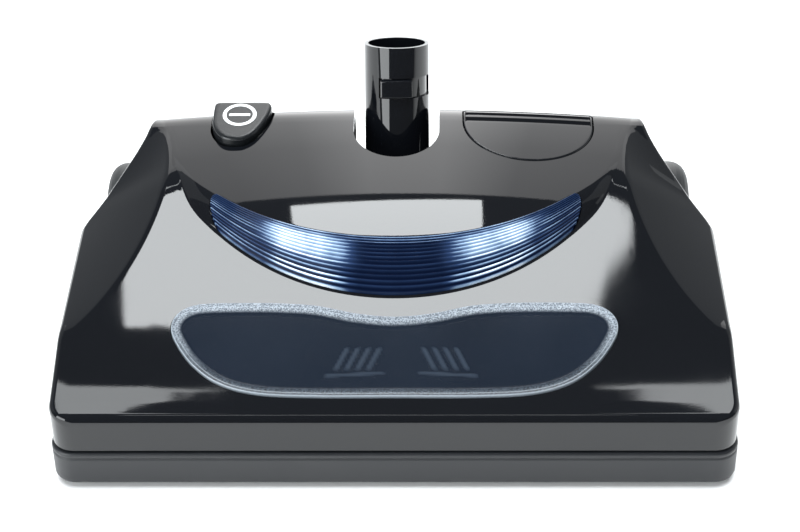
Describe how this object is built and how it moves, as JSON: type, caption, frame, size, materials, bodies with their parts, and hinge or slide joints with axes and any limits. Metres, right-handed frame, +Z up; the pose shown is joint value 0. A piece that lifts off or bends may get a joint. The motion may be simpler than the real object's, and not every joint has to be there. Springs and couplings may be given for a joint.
{
  "type": "motorised floor cleaning head",
  "caption": "Low, wide motorised brush head with a sloping hood, clear brush window, crescent headlight, foot pedals and a tilting wand socket.",
  "frame": {"origin": "on the floor, at the centre of the outline seen from above", "axes": "+Z up, -Y is the front, +X to the right seen from the front"},
  "size_m": [0.355, 0.24, 0.1395],
  "materials": {
    "gloss_black": "gloss",
    "dark_grey": "matte",
    "window_smoke": "gloss",
    "lens_blue": "gloss",
    "reflector_silver": "gloss",
    "bulb_glass": "gloss",
    "ivory": "matte",
    "steel": "satin",
    "rubber": "matte",
    "tyre": "matte",
    "bristle": "matte",
    "white_print": "satin",
    "copper": "satin",
    "brass": "satin",
    "board_green": "satin",
    "component_blue": "gloss",
    "wire_red": "satin"
  },
  "bodies": {
    "root": {"hood": "gloss_black", "brush_window": "window_smoke", "headlight_lens": "lens_blue", "headlight_reflector": "reflector_silver", "headlight_bulbs": "bulb_glass", "bulb_sockets": "ivory", "base_housing": "dark_grey", "inner_frame": "dark_grey", "furniture_bumper": "rubber", "soleplate": "dark_grey", "rear_squeegee": "rubber", "brush_bearings": "steel", "left_end_cap": "dark_grey", "right_end_cap": "dark_grey", "motor_can": "steel", "motor_end_bell": "dark_grey", "motor_cradle": "dark_grey", "motor_strap": "steel", "drive_belt": "rubber", "belt_cover": "dark_grey", "suction_duct": "dark_grey", "duct_seal": "rubber", "neck_bushes": "ivory", "left_axle": "steel", "right_axle": "steel", "roller_pins": "steel", "power_pedal_spring": "steel", "power_switch": "dark_grey", "release_pedal_pin": "steel", "release_pedal_spring": "steel", "pedal_bracket": "dark_grey", "lock_lever_pin": "steel", "control_board": "board_green", "board_components": "component_blue", "power_inlet": "dark_grey", "inlet_pins": "brass", "wire_harness": "wire_red", "housing_screws": "steel", "soleplate_screws": "steel"},
    "brush": {"brush_core": "dark_grey", "brush_bristles": "bristle", "brush_shaft": "steel", "brush_pulley": "ivory"},
    "rotor": {"motor_rotor": "copper", "motor_fan": "dark_grey", "motor_pulley": "ivory"},
    "neck": {"neck_tube": "gloss_black"},
    "wand_lock": {"wand_lock_slider": "gloss_black"},
    "left_rear_wheel": {"left_wheel": "dark_grey", "left_tyre": "tyre", "left_wheel_cap": "dark_grey"},
    "right_rear_wheel": {"right_wheel": "dark_grey", "right_tyre": "tyre", "right_wheel_cap": "dark_grey"},
    "left_front_roller": {"left_roller": "dark_grey"},
    "right_front_roller": {"right_roller": "dark_grey"},
    "power_button": {"power_pedal": "dark_grey", "power_symbol": "white_print"},
    "release": {"release_pedal": "gloss_black"},
    "lever": {"lock_lever": "steel"}
  },
  "joints": [
    {"name": "neck_tilt", "type": "hinge", "parent": "root", "child": "neck", "pos_m": [0, 0.068, 0.044], "axis": [-1, 0, 0], "range_deg": [-21.5, 50]},
    {"name": "wand_lock_turn", "type": "hinge", "parent": "neck", "child": "wand_lock", "pos_m": [0, 0.09454, 0.11138], "axis": [0, 0.3665, 0.9304], "range_deg": [0, 65]},
    {"name": "brush_spin", "type": "hinge", "parent": "root", "child": "brush", "pos_m": [0, -0.076, 0.025], "axis": [1, 0, 0], "continuous": true},
    {"name": "motor_spin", "type": "hinge", "parent": "root", "child": "rotor", "pos_m": [-0.096, 0.022, 0.046], "axis": [1, 0, 0], "continuous": true},
    {"name": "left_wheel_spin", "type": "hinge", "parent": "root", "child": "left_rear_wheel", "pos_m": [-0.155, 0.077, 0.031], "axis": [1, 0, 0], "continuous": true},
    {"name": "right_wheel_spin", "type": "hinge", "parent": "root", "child": "right_rear_wheel", "pos_m": [0.155, 0.077, 0.031], "axis": [1, 0, 0], "continuous": true},
    {"name": "left_roller_spin", "type": "hinge", "parent": "root", "child": "left_front_roller", "pos_m": [-0.11, -0.1085, 0.007], "axis": [1, 0, 0], "continuous": true},
    {"name": "right_roller_spin", "type": "hinge", "parent": "root", "child": "right_front_roller", "pos_m": [0.11, -0.1085, 0.007], "axis": [1, 0, 0], "continuous": true},
    {"name": "power_press", "type": "slide", "parent": "root", "child": "power_button", "axis": [0, 0.1045, -0.9945], "range_m": [0, 0.004], "stiffness_N_per_m": 600, "springref_m": -0.002, "deforming": ["power_pedal_spring"]},
    {"name": "release_press", "type": "hinge", "parent": "root", "child": "release", "pos_m": [0.074, 0.048, 0.089], "axis": [-1, 0, 0], "range_deg": [0, 3.5], "stiffness_Nm_per_rad": 1.2, "springref_deg": -2.86, "deforming": ["release_pedal_spring"]},
    {"name": "lever_turn", "type": "hinge", "parent": "root", "child": "lever", "pos_m": [0.035, 0.076, 0.07], "axis": [-1, 0, 0], "range_deg": [0, 17.5]}
  ],
  "couplings": [
    {"joint": "motor_spin", "follows": "brush_spin", "ratio": 2.0647},
    {"joint": "lever_turn", "follows": "release_press", "ratio": 5}
  ]
}
